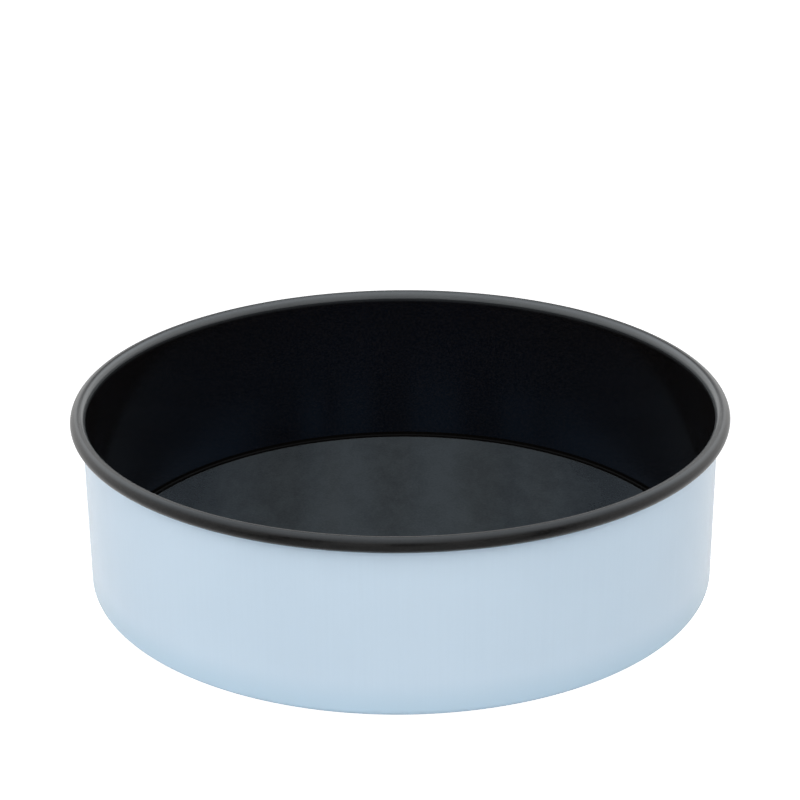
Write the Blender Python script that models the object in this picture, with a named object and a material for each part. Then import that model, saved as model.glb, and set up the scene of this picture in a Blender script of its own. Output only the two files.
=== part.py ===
# A deep round pizza pan, pressed from one sheet of steel with a rolled and wired rim.
# Metres, +Z up. The origin is the centre of the underside, and +Z is the pan's axis.
#
# The sheet is coated on both sides before it is pressed. The inner coat follows the
# sheet over the rolled rim, so the rim is dark, and the outer coat ends hidden inside it.

from math import acos, cos, degrees, radians, sin, tau

import bmesh
import bpy
from mathutils import Matrix, Vector

# Driving sizes of the pan
INNER_DIAMETER = 0.260
OVERALL_HEIGHT = 0.075
INNER_CORNER_RADIUS = 0.001

# Sheet, coats and the gap left between them
SHEET_THICKNESS = 0.0005
LINING_THICKNESS = 0.00015
LACQUER_THICKNESS = 0.00015
COAT_GAP = 0.00025

# Wire inside the rolled rim, and the room around it
WIRE_DIAMETER = 0.003
WIRE_CLEARANCE = 0.00025
WIRE_BUTT_GAP = 0.001

# Gap from the rolled rim's lip to the wall
LIP_CLEARANCE = 0.00035

# Facets of the round shapes
TURN_STEPS = 64
CORNER_STEPS = 3
HALF_CURL_STEPS = 6
LIP_CURL_STEPS = 4
WIRE_SIDES = 8

# Each layer's depth below the surface that holds the food
STEEL_TOP = LINING_THICKNESS + COAT_GAP
STEEL_BOTTOM = STEEL_TOP + SHEET_THICKNESS
LACQUER_TOP = STEEL_BOTTOM + COAT_GAP
TOTAL_THICKNESS = LACQUER_TOP + LACQUER_THICKNESS

# The rolled rim goes round the wire, outside the wall
INNER_RADIUS = INNER_DIAMETER / 2
CURL_RADIUS = WIRE_DIAMETER / 2 + WIRE_CLEARANCE + TOTAL_THICKNESS
CURL_CENTRE_X = INNER_RADIUS + CURL_RADIUS
CURL_CENTRE_Z = OVERALL_HEIGHT - CURL_RADIUS
LIP_ANGLE = -degrees(acos(-(CURL_RADIUS - TOTAL_THICKNESS - LIP_CLEARANCE) / CURL_RADIUS))


def clear_scene():
    for old in list(bpy.data.objects):
        bpy.data.objects.remove(old, do_unlink=True)


def finish(name, colour, roughness, metallic):
    """A material with one colour, for one sub-part."""
    material = bpy.data.materials.new(name)
    material.use_nodes = True
    shader = material.node_tree.nodes["Principled BSDF"]
    shader.inputs["Base Color"].default_value = (*colour, 1.0)
    shader.inputs["Roughness"].default_value = roughness
    shader.inputs["Metallic"].default_value = metallic
    return material


def arc(centre_x, centre_z, radius, start, end, steps):
    """Points of an arc in the XZ plane, both ends included. Angles are in degrees from +X."""
    angles = [radians(start + (end - start) * i / steps) for i in range(steps + 1)]
    return [(centre_x + radius * cos(a), centre_z + radius * sin(a)) for a in angles]


def sheet_line(depth):
    """The section at one depth below the food surface, from the floor's centre to the lip."""
    corner_x = INNER_RADIUS - INNER_CORNER_RADIUS
    corner_z = TOTAL_THICKNESS + INNER_CORNER_RADIUS
    floor = [(0.0, TOTAL_THICKNESS - depth)]
    corner = arc(corner_x, corner_z, INNER_CORNER_RADIUS + depth, -90, 0, CORNER_STEPS)
    curl = arc(CURL_CENTRE_X, CURL_CENTRE_Z, CURL_RADIUS - depth, 180, 0, HALF_CURL_STEPS)
    lip = arc(CURL_CENTRE_X, CURL_CENTRE_Z, CURL_RADIUS - depth, 0, LIP_ANGLE, LIP_CURL_STEPS)
    return floor + corner + curl + lip[1:]


def part_from(name, mesh_builder, material):
    """A smooth-shaded object made from a bmesh that has all its faces."""
    bmesh.ops.recalc_face_normals(mesh_builder, faces=mesh_builder.faces)
    mesh = bpy.data.meshes.new(name)
    mesh_builder.to_mesh(mesh)
    mesh_builder.free()
    mesh.materials.append(material)
    mesh.shade_smooth()
    mesh.set_sharp_from_angle(angle=radians(35))
    part = bpy.data.objects.new(name, mesh)
    bpy.context.collection.objects.link(part)
    return part


def turned_layer(name, top_depth, bottom_depth, material):
    """One layer of the pan between two depths, turned round the pan's axis."""
    outline = sheet_line(top_depth) + sheet_line(bottom_depth)[::-1]
    bm = bmesh.new()
    verts = [bm.verts.new((x, 0.0, z)) for x, z in outline]
    edges = [bm.edges.new(pair) for pair in zip(verts, verts[1:])]
    bmesh.ops.spin(
        bm,
        geom=verts + edges,
        cent=(0, 0, 0),
        axis=(0, 0, 1),
        angle=tau,
        steps=TURN_STEPS,
        use_merge=True,
    )
    bmesh.ops.remove_doubles(bm, verts=bm.verts, dist=1e-6)
    return part_from(name, bm, material)


def wire_hoop(name, material):
    """The wire bent to a hoop, whose two cut ends almost meet at the back."""
    half_gap = WIRE_BUTT_GAP / 2 / CURL_CENTRE_X
    section = arc(CURL_CENTRE_X, CURL_CENTRE_Z, WIRE_DIAMETER / 2, 0, 360, WIRE_SIDES)[:-1]
    to_first_end = Matrix.Rotation(tau / 4 + half_gap, 3, "Z")
    bm = bmesh.new()
    first_end = bm.faces.new([bm.verts.new(to_first_end @ Vector((x, 0.0, z))) for x, z in section])
    bmesh.ops.spin(
        bm,
        geom=[first_end],
        cent=(0, 0, 0),
        axis=(0, 0, 1),
        angle=tau - 2 * half_gap,
        steps=TURN_STEPS,
    )
    return part_from(name, bm, material)


def build():
    clear_scene()
    lining = finish("nonstick_lining", (0.012, 0.014, 0.018), 0.35, 0.0)
    steel = finish("drawn_shell", (0.55, 0.56, 0.57), 0.35, 1.0)
    lacquer = finish("outer_lacquer", (0.50, 0.62, 0.73), 0.35, 0.0)
    wire = finish("rim_wire", (0.48, 0.49, 0.50), 0.40, 1.0)
    turned_layer("nonstick_lining", 0.0, LINING_THICKNESS, lining)
    turned_layer("drawn_shell", STEEL_TOP, STEEL_BOTTOM, steel)
    turned_layer("outer_lacquer", LACQUER_TOP, TOTAL_THICKNESS, lacquer)
    wire_hoop("rim_wire", wire)


build()
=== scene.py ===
# The looks of the deep round pizza pan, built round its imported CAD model.
# Metres, +Z up, in the model's own frame: the pan stands on z = 0 with its axis on +Z.

from math import acos, cos, degrees, pi, radians, sin, tan, tau

import bmesh
import bpy
from mathutils import Matrix, Vector


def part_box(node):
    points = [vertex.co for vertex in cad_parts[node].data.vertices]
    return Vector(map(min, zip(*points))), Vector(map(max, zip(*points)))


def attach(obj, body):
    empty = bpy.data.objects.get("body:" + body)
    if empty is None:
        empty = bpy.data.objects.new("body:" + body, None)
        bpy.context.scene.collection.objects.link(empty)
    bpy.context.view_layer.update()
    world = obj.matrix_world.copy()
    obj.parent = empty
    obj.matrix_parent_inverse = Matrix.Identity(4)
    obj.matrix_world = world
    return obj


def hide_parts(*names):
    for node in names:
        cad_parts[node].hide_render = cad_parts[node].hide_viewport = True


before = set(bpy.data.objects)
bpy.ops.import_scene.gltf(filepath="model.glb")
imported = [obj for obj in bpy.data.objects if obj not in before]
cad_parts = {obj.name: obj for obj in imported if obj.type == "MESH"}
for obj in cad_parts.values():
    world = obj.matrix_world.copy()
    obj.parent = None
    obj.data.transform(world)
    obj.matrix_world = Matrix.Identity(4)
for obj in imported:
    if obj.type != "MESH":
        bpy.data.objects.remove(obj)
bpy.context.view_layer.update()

# The photograph's viewpoint, fitted to the pan's edges in it
EYE_DISTANCE = 0.8751
EYE_ELEVATION = radians(26.725)
LOOKING_DOWN = radians(22.294)
CAMERA_ROLL = radians(-0.42)
SENSOR_WIDTH = 36.0
LENS = 91.289

# Sizes of the layers that the model's box doesn't give
INNER_CORNER_RADIUS = 0.001
LINING_THICKNESS = 0.00015
LACQUER_THICKNESS = 0.00015
COAT_GAP = 0.00002
LIP_CLEARANCE = 0.00035
WIRE_BUTT_GAP = 0.001

# Sizes read from the model
LINING_LOW, LINING_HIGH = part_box("nonstick_lining")
WIRE_LOW, WIRE_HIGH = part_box("rim_wire")
OVERALL_HEIGHT = LINING_HIGH.z
RIM_RADIUS = LINING_HIGH.x
TOTAL_THICKNESS = LINING_LOW.z + LINING_THICKNESS
WIRE_RADIUS = (WIRE_HIGH.z - WIRE_LOW.z) / 2
CURL_CENTRE_Z = (WIRE_HIGH.z + WIRE_LOW.z) / 2
CURL_RADIUS = OVERALL_HEIGHT - CURL_CENTRE_Z
CURL_CENTRE_X = RIM_RADIUS - CURL_RADIUS
INNER_RADIUS = CURL_CENTRE_X - CURL_RADIUS
LIP_ANGLE = -degrees(acos(-(CURL_RADIUS - TOTAL_THICKNESS - LIP_CLEARANCE) / CURL_RADIUS))

# Depth of the painted sheen just below the rim on the inner wall's coat, and height of the dull strip at the
# wall's foot
PAINTED_SHEEN_DEPTH = 0.0018
DULL_FOOT = 0.0018
DULL_FOOT_FADE = 0.004

# Where the floor's slate gives way to the dull corner, in from the wall's face: the ring there is painted
# shade, near-black on the flat floor. The photograph shows the floor's edge here, wider than the model's
# corner radius.
PAINTED_SHADE_START = 0.0027
PAINTED_SHADE_END = 0.0019

# Facets of the visible meshes
TURN_STEPS = 288
FLOOR_RINGS = 12
WALL_RINGS = 16
CORNER_STEPS = 8
HALF_CURL_STEPS = 28
LIP_CURL_STEPS = 18
WIRE_SIDES = 24

# Colour of the floor's coat, and the width of its soft streaks: painted sheen, streaks of reflected light
# painted into the coat's colour
FLOOR_SLATE = (0.068, 0.081, 0.092)
PAINTED_SHEEN_WIDTH = 0.048
PAINTED_SHEEN_START = -0.0039

# Dark and pale tone of each finish, from its grain
CORNER_TONES = ((0.0018, 0.0016, 0.0015), (0.0036, 0.0032, 0.0029))
WALL_TONES = ((0.0014, 0.0012, 0.0010), (0.0066, 0.0054, 0.0050))
RIM_TONES = ((0.0012, 0.0012, 0.0014), (0.0092, 0.0088, 0.0086))
# Pale tones of the painted highlight on the rolled rim
PAINTED_HIGHLIGHT_TONES = ((0.074, 0.081, 0.087), (0.106, 0.115, 0.123))
LACQUER_TONES = ((0.530, 0.640, 0.755), (0.550, 0.660, 0.775))
STEEL_TONES = ((0.42, 0.43, 0.44), (0.62, 0.63, 0.64))
WIRE_TONES = ((0.38, 0.39, 0.40), (0.56, 0.57, 0.58))
WALL_FLECK = (0.02, 0.05, 0.13)
# Paler colour of the painted sheen below the rim, on the inner wall
WALL_PAINTED_SHEEN = (0.045, 0.050, 0.055)
# Colour of the painted shade at the lacquer's foot
LACQUER_PAINTED_SHADE = (0.46, 0.595, 0.715)
SLATE_SHARES = (0.68, 1.2)

# Grain of the inner coat, gloss of the finishes and range of their roughness
GRAIN_SCALE = 1100.0
GRAIN_RANGE = (0.3, 0.7)
DARK_GRAIN_RANGE = (0.35, 0.7)
GLOSSY_IOR = 1.65
SATIN_IOR = 1.5
WALL_GLOSS_TINT = (0.22, 0.48, 0.90, 1.0)
CORNER_GLOSS = 0.05
FLOOR_ROUGHNESS = (0.12, 0.2)
CORNER_ROUGHNESS = (0.23, 0.265)
WALL_ROUGHNESS = (0.13, 0.2)
RIM_ROUGHNESS = (0.21, 0.265)
LACQUER_ROUGHNESS = (0.22, 0.25)
STEEL_ROUGHNESS = (0.32, 0.5)
WIRE_ROUGHNESS = (0.3, 0.45)

# Angles round the rolled rim, from its top into the pan, between which a painted highlight turns it pale and
# then fades to half
PAINTED_HIGHLIGHT_FROM, PAINTED_HIGHLIGHT_TO = radians(7), radians(38)
PAINTED_HIGHLIGHT_FADE_FROM, PAINTED_HIGHLIGHT_FADE_TO = radians(76), radians(104)

# Heights between which the lacquer's painted shade at the foot fades out
PAINTED_SHADE_FOOT = (0.001, 0.016)

# Light of the studio: radiance of each part, where 1 shows as white
ZENITH = 1.55
BACK_LOW = 1.12
BACK_POSTS = 0.4
BACK_CORNERS = 0.8
SIDE_LOW = 0.6
FRONT_HIGH = 1.25
FRONT_LOW = 0.05
BEHIND_GAP = 0.2
BELOW_BACK = 0.95
BELOW_SIDE = 0.5
BELOW_FRONT = 0.34
FLAG_SHADE = 0.25
SURROUND_GLOW = 1.1
TABLE_WHITE = (0.56, 0.65, 0.72)
KEY = 1.92
LEFT_FILL = 3.5
RIGHT_FILL = 2.8
BACK_FILL = 1.8
KEY_COLOUR = (1.03, 1.0, 0.96)
SOFTBOX_DISTANCE = 2.3
STRIPS = 0.42
STRIP_DISTANCE = 2.0
STRIP_HEIGHT = 2.0
STRIP_BASE = 0.15
FILL_ELEVATION = 14.0
FILL_HEIGHT = 1.1
TABLE_RADIUS = 3.0
SURROUND_RADIUS = 9.0
TABLE_DEPTH = 0.0001


def photo_camera():
    """The camera at the photograph's viewpoint, with no shift and no depth of field."""
    data = bpy.data.cameras.new("photo_camera")
    data.sensor_width = SENSOR_WIDTH
    data.lens = LENS
    data.clip_start = 0.01
    camera = bpy.data.objects.new("photo_camera", data)
    bpy.context.scene.collection.objects.link(camera)
    eye = Vector((0.0, -EYE_DISTANCE * cos(EYE_ELEVATION), EYE_DISTANCE * sin(EYE_ELEVATION)))
    pitch = Matrix.Rotation(radians(90) - LOOKING_DOWN, 4, "X")
    roll = Matrix.Rotation(CAMERA_ROLL, 4, "Z")
    camera.matrix_world = Matrix.Translation(eye) @ pitch @ roll
    bpy.context.scene.camera = camera


class Graph:
    """A material's or world's nodes, made one line at a time."""

    def __init__(self, owner):
        owner.use_nodes = True
        self.tree = owner.node_tree
        self.tree.nodes.clear()

    def node(self, kind, settings=None, **inputs):
        """A node with settings on it, and its inputs set or linked by name."""
        made = self.tree.nodes.new(kind)
        for name, value in (settings or {}).items():
            setattr(made, name, value)
        for name, value in inputs.items():
            self.feed(made.inputs[name.replace("_", " ")], value)
        return made

    def feed(self, socket, value):
        if isinstance(value, bpy.types.NodeSocket):
            self.tree.links.new(value, socket)
        else:
            socket.default_value = value

    def math(self, operation, first, second=0.0):
        made = self.tree.nodes.new("ShaderNodeMath")
        made.operation = operation
        self.feed(made.inputs[0], first)
        self.feed(made.inputs[1], second)
        return made.outputs[0]

    def ramp(self, value, low, high, to_low=0.0, to_high=1.0):
        """value taken smoothly from the range low..high to the range to_low..to_high."""
        made = self.node(
            "ShaderNodeMapRange",
            {"interpolation_type": "SMOOTHSTEP"},
            Value=value,
            From_Min=low,
            From_Max=high,
            To_Min=to_low,
            To_Max=to_high,
        )
        return made.outputs["Result"]

    def band(self, value, start, full, still_full, end):
        """1 from full to still_full, and smoothly down to 0 at start and at end."""
        falling = self.ramp(value, still_full, end, 1.0, 0.0)
        return self.math("MULTIPLY", self.ramp(value, start, full), falling)

    def blend(self, share, first, second):
        """The mix of two numbers."""
        made = self.tree.nodes.new("ShaderNodeMix")
        made.data_type = "FLOAT"
        self.feed(made.inputs[0], share)
        self.feed(made.inputs[2], first)
        self.feed(made.inputs[3], second)
        return made.outputs[0]

    def blend_colour(self, share, first, second):
        """The mix of two colours."""
        made = self.tree.nodes.new("ShaderNodeMix")
        made.data_type = "RGBA"
        self.feed(made.inputs[0], share)
        self.feed(made.inputs[6], (*first, 1.0) if isinstance(first, tuple) else first)
        self.feed(made.inputs[7], (*second, 1.0) if isinstance(second, tuple) else second)
        return made.outputs[2]

    def place(self):
        """Object coordinates, and the same as separate x, y and z."""
        coordinates = self.node("ShaderNodeTexCoord").outputs["Object"]
        split = self.node("ShaderNodeSeparateXYZ", Vector=coordinates)
        return coordinates, split.outputs["X"], split.outputs["Y"], split.outputs["Z"]

    def length(self, x, y):
        return self.math("SQRT", self.math("ADD", self.math("MULTIPLY", x, x), self.math("MULTIPLY", y, y)))

    def round_place(self, turns_scale, height_scale):
        """Coordinates that run round the pan, out from its axis and up it."""
        _, x, y, z = self.place()
        angle = self.math("ARCTAN2", y, x)
        made = self.node("ShaderNodeCombineXYZ")
        self.feed(made.inputs[0], self.math("MULTIPLY", angle, turns_scale))
        self.feed(made.inputs[1], self.math("MULTIPLY", self.length(x, y), height_scale))
        self.feed(made.inputs[2], self.math("MULTIPLY", z, height_scale))
        return made.outputs[0]

    def noise(self, where, scale, detail=2.0, roughness=0.5):
        made = self.node("ShaderNodeTexNoise", Vector=where, Scale=scale, Detail=detail, Roughness=roughness)
        return made.outputs["Fac"]

    def specks(self, where, scale, size):
        """1 at the middle of scattered specks, and 0 between them."""
        cells = self.node("ShaderNodeTexVoronoi", Vector=where, Scale=scale)
        return self.ramp(cells.outputs["Distance"], 0.0, size, 1.0, 0.0)

    def bump(self, height, distance, strength=1.0):
        made = self.node("ShaderNodeBump", Height=height, Distance=distance, Strength=strength)
        return made.outputs["Normal"]

    def shade(self, **inputs):
        """The Principled shader, as the surface."""
        shader = self.node("ShaderNodeBsdfPrincipled")
        for name, value in inputs.items():
            self.feed(shader.inputs[name.replace("_", " ")], value)
        output = self.node("ShaderNodeOutputMaterial")
        self.tree.links.new(shader.outputs[0], output.inputs["Surface"])


def new_material(name):
    material = bpy.data.materials.new(name)
    return material, Graph(material)


def floor_coat():
    """Non-stick coat on the undrawn floor: slate grey with clouds and a fine grain, and painted sheen in
    soft streaks.
    """
    material, g = new_material("coat_on_floor")
    where, x, y, _ = g.place()
    drawn_out = g.node("ShaderNodeCombineXYZ", X=x, Y=g.math("MULTIPLY", y, 0.5)).outputs[0]
    clouds = g.ramp(g.noise(drawn_out, 80.0, 4.0, 0.65), 0.36, 0.64)
    grain = g.noise(where, 1000.0, 3.0, 0.7)
    # Painted sheen: soft streaks of reflected light across the floor, and a paler middle, painted into its
    # colour
    painted_sheen_phase = g.math("MULTIPLY", g.math("SUBTRACT", x, PAINTED_SHEEN_START), tau / PAINTED_SHEEN_WIDTH)
    streaks = g.math("MULTIPLY", g.math("COSINE", painted_sheen_phase), -0.5)
    middle = g.ramp(g.math("ABSOLUTE", x), 0.02, 0.11, 1.0, 0.0)
    tone = g.math("ADD", g.math("MULTIPLY", streaks, 0.35), g.math("MULTIPLY", middle, 0.5))
    tone = g.math("ADD", tone, g.math("MULTIPLY", clouds, 0.3))
    tone = g.math("ADD", tone, g.ramp(grain, *GRAIN_RANGE, -0.15, 0.25))
    dark, pale = (tuple(share * c for c in FLOOR_SLATE) for share in SLATE_SHARES)
    base = g.blend_colour(tone, dark, pale)
    roughness = g.ramp(grain, *GRAIN_RANGE, *FLOOR_ROUGHNESS)
    g.shade(Base_Color=base, Roughness=roughness, IOR=GLOSSY_IOR, Normal=g.bump(grain, 0.000005))
    return material


def corner_coat():
    """The same coat on the floor's last ring and in the corner: dull, slate turning near-black, painted
    shade on the flat ring.
    """
    material, g = new_material("coat_in_corner")
    where, x, y, _ = g.place()
    grain = g.noise(where, GRAIN_SCALE, 3.0, 0.7)
    black = g.blend_colour(g.ramp(grain, *DARK_GRAIN_RANGE), *CORNER_TONES)
    # Painted shade: the floor's last ring darkens to the corner's near-black
    painted_shade_ring = g.ramp(g.length(x, y), INNER_RADIUS - PAINTED_SHADE_START, INNER_RADIUS - PAINTED_SHADE_END)
    base = g.blend_colour(painted_shade_ring, FLOOR_SLATE, black)
    roughness = g.ramp(grain, *GRAIN_RANGE, *CORNER_ROUGHNESS)
    relief = g.bump(grain, 0.000004)
    g.shade(Base_Color=base, Roughness=roughness, Specular_IOR_Level=CORNER_GLOSS, Normal=relief)
    return material


def wall_coat():
    """The same coat on the drawn wall: near-black and smoother, with fine flecks and painted sheen below the
    rim.
    """
    material, g = new_material("coat_on_wall")
    where, _, _, z = g.place()
    grain = g.noise(where, GRAIN_SCALE, 3.0, 0.7)
    flecks = g.specks(where, 1300.0, 0.36)
    base = g.blend_colour(g.ramp(grain, *DARK_GRAIN_RANGE), *WALL_TONES)
    base = g.blend_colour(g.math("MULTIPLY", flecks, 0.04), base, WALL_FLECK)
    # Painted sheen: the top of the wall paler towards the rim, where the roll's light fades into it
    haze = g.ramp(z, CURL_CENTRE_Z - PAINTED_SHEEN_DEPTH, CURL_CENTRE_Z, 0.0, 0.5)
    base = g.blend_colour(haze, base, WALL_PAINTED_SHEEN)
    foot_z = TOTAL_THICKNESS + DULL_FOOT
    dull = g.ramp(z, foot_z, foot_z + DULL_FOOT_FADE, 0.065, 0.0)
    roughness = g.math("ADD", g.ramp(grain, *GRAIN_RANGE, *WALL_ROUGHNESS), dull)
    g.shade(
        Base_Color=base,
        Roughness=roughness,
        IOR=GLOSSY_IOR,
        Specular_Tint=WALL_GLOSS_TINT,
        Normal=g.bump(grain, 0.000004),
    )
    return material


def rim_coat():
    """The same coat on the rolled rim: black outside, and a painted highlight, pale where the roll turns
    into the pan.
    """
    material, g = new_material("coat_on_rim")
    where, x, y, z = g.place()
    inwards = g.math("SUBTRACT", CURL_CENTRE_X, g.length(x, y))
    up = g.math("SUBTRACT", z, CURL_CENTRE_Z)
    round_roll = g.math("ARCTAN2", inwards, up)
    grain = g.noise(where, GRAIN_SCALE, 3.0, 0.7)
    black = g.blend_colour(g.ramp(grain, *GRAIN_RANGE), *RIM_TONES)
    pale = g.blend_colour(grain, *PAINTED_HIGHLIGHT_TONES)
    # Painted highlight: pale tones painted where the roll turns into the pan, half faded further in
    painted_highlight_band = g.math("MULTIPLY", g.ramp(round_roll, PAINTED_HIGHLIGHT_FROM, PAINTED_HIGHLIGHT_TO), g.ramp(up, -0.0003, 0.0))
    painted_highlight_fade = g.ramp(round_roll, PAINTED_HIGHLIGHT_FADE_FROM, PAINTED_HIGHLIGHT_FADE_TO, 1.0, 0.5)
    base = g.blend_colour(g.math("MULTIPLY", painted_highlight_band, painted_highlight_fade), black, pale)
    roughness = g.ramp(grain, *GRAIN_RANGE, *RIM_ROUGHNESS)
    g.shade(Base_Color=base, Roughness=roughness, IOR=SATIN_IOR, Normal=g.bump(grain, 0.000006))
    return material


def lacquer_material():
    """Pale blue lacquer, satin, with a slight orange peel and the faintest draw marks."""
    material, g = new_material("blue_lacquer")
    where, _, _, z = g.place()
    clouds = g.noise(where, 18.0, 3.0)
    drawn = g.noise(g.round_place(60.0, 6.0), 3.0, 3.0)
    tone = g.math("ADD", g.math("MULTIPLY", clouds, 0.7), g.math("MULTIPLY", drawn, 0.3))
    base = g.blend_colour(g.ramp(tone, *GRAIN_RANGE), *LACQUER_TONES)
    # Painted shade: the lacquer darker and bluer towards the foot
    base = g.blend_colour(g.ramp(z, *PAINTED_SHADE_FOOT, 1.0, 0.0), base, LACQUER_PAINTED_SHADE)
    grain = g.noise(where, 900.0, 2.0)
    fine = g.ramp(grain, *GRAIN_RANGE, -0.015, 0.015)
    roughness = g.math("ADD", g.ramp(clouds, *GRAIN_RANGE, *LACQUER_ROUGHNESS), fine)
    peel = g.bump(g.noise(where, 500.0, 2.0), 0.000008)
    g.shade(Base_Color=base, Roughness=roughness, IOR=SATIN_IOR, Normal=peel)
    return material


def sheared_steel_material():
    """Bare cold-rolled steel, seen only at the lip's cut edge."""
    material, g = new_material("sheared_steel")
    streaks = g.noise(g.round_place(400.0, 3000.0), 1.0, 3.0)
    base = g.blend_colour(streaks, *STEEL_TONES)
    g.shade(
        Base_Color=base,
        Metallic=1.0,
        Roughness=g.ramp(streaks, 0.2, 0.8, *STEEL_ROUGHNESS),
        Normal=g.bump(streaks, 0.000015),
    )
    return material


def wire_material():
    """Drawn steel wire, with fine lines along it."""
    material, g = new_material("drawn_wire")
    streaks = g.noise(g.round_place(20.0, 4000.0), 1.0, 3.0)
    base = g.blend_colour(streaks, *WIRE_TONES)
    g.shade(
        Base_Color=base,
        Metallic=1.0,
        Roughness=g.ramp(streaks, 0.2, 0.8, *WIRE_ROUGHNESS),
        Normal=g.bump(streaks, 0.00001),
    )
    return material


def arc(centre_x, centre_z, radius, start, end, steps):
    """Points of an arc in the XZ plane, both ends included. Angles are in degrees from +X."""
    angles = [radians(start + (end - start) * i / steps) for i in range(steps + 1)]
    return [(centre_x + radius * cos(a), centre_z + radius * sin(a)) for a in angles]


def sheet_line(depth):
    """The section at one depth below the food surface, from the floor's centre to the lip."""
    corner_x = INNER_RADIUS - INNER_CORNER_RADIUS
    corner_z = TOTAL_THICKNESS + INNER_CORNER_RADIUS
    floor = [(corner_x * i / FLOOR_RINGS, TOTAL_THICKNESS - depth) for i in range(FLOOR_RINGS)]
    floor.append((INNER_RADIUS - PAINTED_SHADE_START, TOTAL_THICKNESS - depth))
    corner = arc(corner_x, corner_z, INNER_CORNER_RADIUS + depth, -90, 0, CORNER_STEPS)
    foot_z = TOTAL_THICKNESS + DULL_FOOT
    wall_height = CURL_CENTRE_Z - foot_z
    wall_x = INNER_RADIUS + depth
    wall = [(wall_x, foot_z + wall_height * i / WALL_RINGS) for i in range(WALL_RINGS)]
    curl = arc(CURL_CENTRE_X, CURL_CENTRE_Z, CURL_RADIUS - depth, 180, 0, HALF_CURL_STEPS)
    lip = arc(CURL_CENTRE_X, CURL_CENTRE_Z, CURL_RADIUS - depth, 0, LIP_ANGLE, LIP_CURL_STEPS)
    return floor + corner + wall + curl + lip[1:]


def piece_from(name, mesh, materials, stands_for):
    """A smooth piece that rides on the pan's one body and stands for a CAD node."""
    for material in materials:
        mesh.materials.append(material)
    mesh.shade_smooth()
    mesh.set_sharp_from_angle(angle=radians(35))
    piece = bpy.data.objects.new(name, mesh)
    bpy.context.scene.collection.objects.link(piece)
    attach(piece, "root")
    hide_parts(stands_for)
    return piece


def turned_mesh(name, outline):
    """The outline turned round the pan's axis. It starts and ends on the axis, the solid on its right."""
    rings = outline[1:-1]
    verts = [(0.0, 0.0, outline[0][1]), (0.0, 0.0, outline[-1][1])]
    for step in range(TURN_STEPS):
        turn = tau * step / TURN_STEPS
        verts += [(x * cos(turn), x * sin(turn), z) for x, z in rings]
    faces = []
    for step in range(TURN_STEPS):
        here = 2 + step * len(rings)
        after = 2 + (step + 1) % TURN_STEPS * len(rings)
        faces.append((0, here, after))
        faces += [(here + i, here + i + 1, after + i + 1, after + i) for i in range(len(rings) - 1)]
        faces.append((1, after + len(rings) - 1, here + len(rings) - 1))
    mesh = bpy.data.meshes.new(name)
    mesh.from_pydata(verts, [], faces)
    return mesh


def turned_layer(name, top_depth, bottom_depth, materials, stands_for):
    """One layer of the pan between two depths below the food surface."""
    outline = sheet_line(top_depth) + sheet_line(bottom_depth)[::-1]
    return piece_from(name, turned_mesh(name, outline), materials, stands_for)


def wire_hoop(name, materials, stands_for):
    """The wire inside the rolled rim, whose two cut ends almost meet at the back."""
    half_gap = WIRE_BUTT_GAP / 2 / CURL_CENTRE_X
    section = arc(CURL_CENTRE_X, CURL_CENTRE_Z, WIRE_RADIUS, 0, 360, WIRE_SIDES)[:-1]
    to_first_end = Matrix.Rotation(tau / 4 + half_gap, 3, "Z")
    bm = bmesh.new()
    first_end = bm.faces.new([bm.verts.new(to_first_end @ Vector((x, 0.0, z))) for x, z in section])
    bmesh.ops.spin(
        bm,
        geom=[first_end],
        cent=(0, 0, 0),
        axis=(0, 0, 1),
        angle=tau - 2 * half_gap,
        steps=TURN_STEPS,
    )
    bmesh.ops.recalc_face_normals(bm, faces=bm.faces)
    mesh = bpy.data.meshes.new(name)
    bm.to_mesh(mesh)
    bm.free()
    piece_from(name, mesh, materials, stands_for)


def share_out_coats(mesh):
    """Gives the inner coat's faces the floor's, the corner's, the wall's or the rim's material."""
    for face in mesh.polygons:
        centre = face.center
        if centre.z > CURL_CENTRE_Z or centre.xy.length > INNER_RADIUS + TOTAL_THICKNESS:
            face.material_index = 3
        elif centre.z > TOTAL_THICKNESS + DULL_FOOT:
            face.material_index = 2
        elif centre.xy.length > INNER_RADIUS - PAINTED_SHADE_START:
            face.material_index = 1


def build_pan():
    sheet_top = LINING_THICKNESS + COAT_GAP
    sheet_bottom = TOTAL_THICKNESS - LACQUER_THICKNESS - COAT_GAP
    lacquer_top = TOTAL_THICKNESS - LACQUER_THICKNESS
    coats = [floor_coat(), corner_coat(), wall_coat(), rim_coat()]
    inner = turned_layer("inner_coat", 0.0, LINING_THICKNESS, coats, "nonstick_lining")
    share_out_coats(inner.data)
    steel, lacquer = [sheared_steel_material()], [lacquer_material()]
    turned_layer("steel_sheet", sheet_top, sheet_bottom, steel, "drawn_shell")
    turned_layer("outer_coat", lacquer_top, TOTAL_THICKNESS, lacquer, "outer_lacquer")
    wire_hoop("bead_wire", [wire_material()], "rim_wire")


def staged(name, mesh, material):
    """Something of the studio, which isn't part of the pan."""
    mesh.materials.append(material)
    prop = bpy.data.objects.new(name, mesh)
    bpy.context.scene.collection.objects.link(prop)
    return prop


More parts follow.
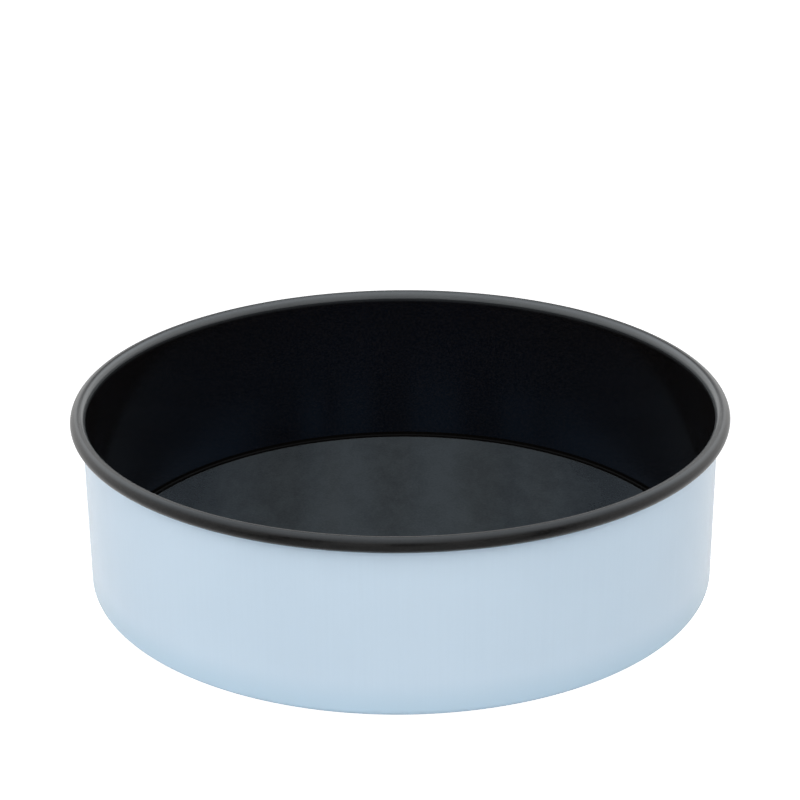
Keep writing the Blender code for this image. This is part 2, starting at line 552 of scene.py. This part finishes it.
def white_surround():
    """The white that the camera sees all round the pan. It sheds no light and casts no shadow."""
    bm = bmesh.new()
    bmesh.ops.create_uvsphere(bm, u_segments=64, v_segments=32, radius=SURROUND_RADIUS)
    for vert in bm.verts:
        vert.co.z = max(vert.co.z, -TABLE_DEPTH)
    mesh = bpy.data.meshes.new("white_surround")
    bm.to_mesh(mesh)
    bm.free()
    material, g = new_material("lit_paper")
    paper = g.noise(g.place()[0], 60.0, 2.0)
    glow = g.ramp(paper, 0.0, 1.0, SURROUND_GLOW, SURROUND_GLOW + 0.05)
    g.shade(Base_Color=(0.8, 0.8, 0.8, 1.0), Emission_Color=(1.0, 1.0, 1.0, 1.0), Emission_Strength=glow)
    surround = staged("white_surround", mesh, material)
    surround.visible_diffuse = False
    surround.visible_glossy = False
    surround.visible_transmission = False
    surround.visible_shadow = False


def white_table():
    """The table that lights the pan from below. The white surround stands in for it in the picture."""
    bm = bmesh.new()
    bmesh.ops.create_circle(bm, cap_ends=True, segments=96, radius=TABLE_RADIUS)
    mesh = bpy.data.meshes.new("white_table")
    bm.to_mesh(mesh)
    bm.free()
    material, g = new_material("white_laminate")
    haze = g.noise(g.place()[0], 60.0, 2.0)
    base = g.blend_colour(g.math("MULTIPLY", haze, 0.04), TABLE_WHITE, (1.0, 1.0, 1.0))
    g.shade(Base_Color=base, Roughness=0.9)
    table = staged("white_table", mesh, material)
    table.location.z = -TABLE_DEPTH
    table.visible_camera = False
    table.visible_glossy = False


def studio_sky():
    """What the pan's gloss reflects: white overhead, behind and beside it, dark low in front."""
    world = bpy.data.worlds.new("studio_sky")
    bpy.context.scene.world = world
    g = Graph(world)
    # ahead is 1 towards the camera's side and -1 behind the pan, and z is the sine of the elevation
    direction = g.node("ShaderNodeTexCoord").outputs["Generated"]
    split = g.node("ShaderNodeSeparateXYZ", Vector=direction)
    x, y, z = split.outputs["X"], split.outputs["Y"], split.outputs["Z"]
    level = g.math("MAXIMUM", g.length(x, y), 0.001)
    ahead = g.math("DIVIDE", g.math("MULTIPLY", y, -1.0), level)
    to_front = g.ramp(ahead, 0.30, 0.68)
    front_up = g.ramp(z, 0.42, 1.05, FRONT_LOW, FRONT_HIGH)
    posts = g.ramp(ahead, -0.95, -0.84, BACK_POSTS, 0.0)
    back_low = g.math("ADD", g.ramp(ahead, -0.65, 0.5, BACK_LOW, SIDE_LOW), posts)
    back_up = g.blend(g.ramp(z, 0.45, 1.0), back_low, ZENITH)
    corners = g.band(ahead, -0.98, -0.85, -0.75, -0.2)
    corners = g.math("MULTIPLY", corners, g.band(z, 0.3, 0.5, 0.6, 0.85))
    back_up = g.math("ADD", back_up, g.math("MULTIPLY", corners, BACK_CORNERS))
    gap = g.math("MAXIMUM", g.ramp(z, 0.36, 0.44), g.ramp(z, 0.22, 0.30, 1.0, 0.0))
    gap = g.math("MULTIPLY", gap, g.ramp(z, 0.55, 0.75, 1.0, 0.0))
    gap = g.math("MULTIPLY", g.ramp(ahead, -0.996, -0.965, 1.0, 0.0), gap)
    back_up = g.math("MULTIPLY", back_up, g.ramp(gap, 0.0, 1.0, 1.0, BEHIND_GAP))
    above = g.blend(to_front, back_up, front_up)
    back_down = g.ramp(ahead, -1.0, 0.6, BELOW_BACK, BELOW_SIDE)
    below = g.blend(to_front, back_down, BELOW_FRONT)
    radiance = g.blend(g.ramp(z, -0.1, 0.25), below, above)
    beside = g.band(ahead, 0.55, 0.63, 0.75, 0.83)
    flag = g.math("MULTIPLY", beside, g.band(z, -0.5, -0.4, 0.2, 0.45))
    radiance = g.math("MULTIPLY", radiance, g.ramp(flag, 0.0, 1.0, 1.0, FLAG_SHADE))
    tint = g.blend_colour(g.ramp(z, 0.2, 0.8), (1.0, 1.0, 1.0), (0.92, 1.0, 1.07))
    background = g.node("ShaderNodeBackground", Color=tint, Strength=radiance)
    output = g.node("ShaderNodeOutputWorld")
    g.tree.links.new(background.outputs[0], output.inputs["Surface"])
    world.cycles_visibility.diffuse = False
    world.cycles.sampling_method = "NONE"


def softbox(name, place, aim, width, height, radiance, colour=(1.0, 1.0, 1.0)):
    """An area light of a given radiance, which the camera doesn't see."""
    data = bpy.data.lights.new(name, "AREA")
    data.shape = "RECTANGLE"
    data.size = width
    data.size_y = height
    data.energy = radiance * pi * width * height
    data.color = colour
    light = bpy.data.objects.new(name, data)
    light.location = place
    light.rotation_euler = (Vector(aim) - Vector(place)).to_track_quat("-Z", "Y").to_euler()
    light.visible_camera = False
    bpy.context.scene.collection.objects.link(light)
    return light


def big_softbox(name, azimuth, elevation, width, height, radiance):
    """A softbox that only lights the pan and shows in no gloss. Angles are in degrees, from the pan."""
    turn, tilt = radians(azimuth), radians(elevation)
    level = SOFTBOX_DISTANCE * cos(tilt)
    place = (level * sin(turn), -level * cos(turn), SOFTBOX_DISTANCE * sin(tilt))
    panel = softbox(name, place, (0.0, 0.0, 0.0), width, height, radiance, KEY_COLOUR)
    panel.visible_glossy = False
    panel.data.cycles.use_multiple_importance_sampling = False


def tall_strip(name, azimuth, width, radiance):
    """A tall softbox on the camera's side. Azimuth and width are in degrees, seen from the pan."""
    turn = radians(azimuth)
    middle = STRIP_HEIGHT / 2 + STRIP_BASE
    place = (STRIP_DISTANCE * sin(turn), -STRIP_DISTANCE * cos(turn), middle)
    breadth = 2 * STRIP_DISTANCE * tan(radians(width) / 2)
    softbox(name, place, (0.0, 0.0, middle), breadth, STRIP_HEIGHT, radiance)


def studio():
    bpy.context.scene.view_settings.view_transform = "Standard"
    white_surround()
    white_table()
    studio_sky()
    big_softbox("front_key", -4.0, 43.0, 6.0, 2.7, KEY)
    big_softbox("left_fill", -100.0, FILL_ELEVATION, 1.7, FILL_HEIGHT, LEFT_FILL)
    big_softbox("right_fill", 100.0, FILL_ELEVATION, 1.7, FILL_HEIGHT, RIGHT_FILL)
    big_softbox("back_fill", 180.0, FILL_ELEVATION, 3.6, FILL_HEIGHT, BACK_FILL)
    tall_strip("right_strip", 18.6, 13.9, STRIPS)
    tall_strip("far_right_strip", 36.2, 9.4, STRIPS)
    tall_strip("left_strip", -14.5, 19.6, STRIPS)
    tall_strip("far_left_strip", -49.5, 14.0, STRIPS)


photo_camera()
build_pan()
studio()
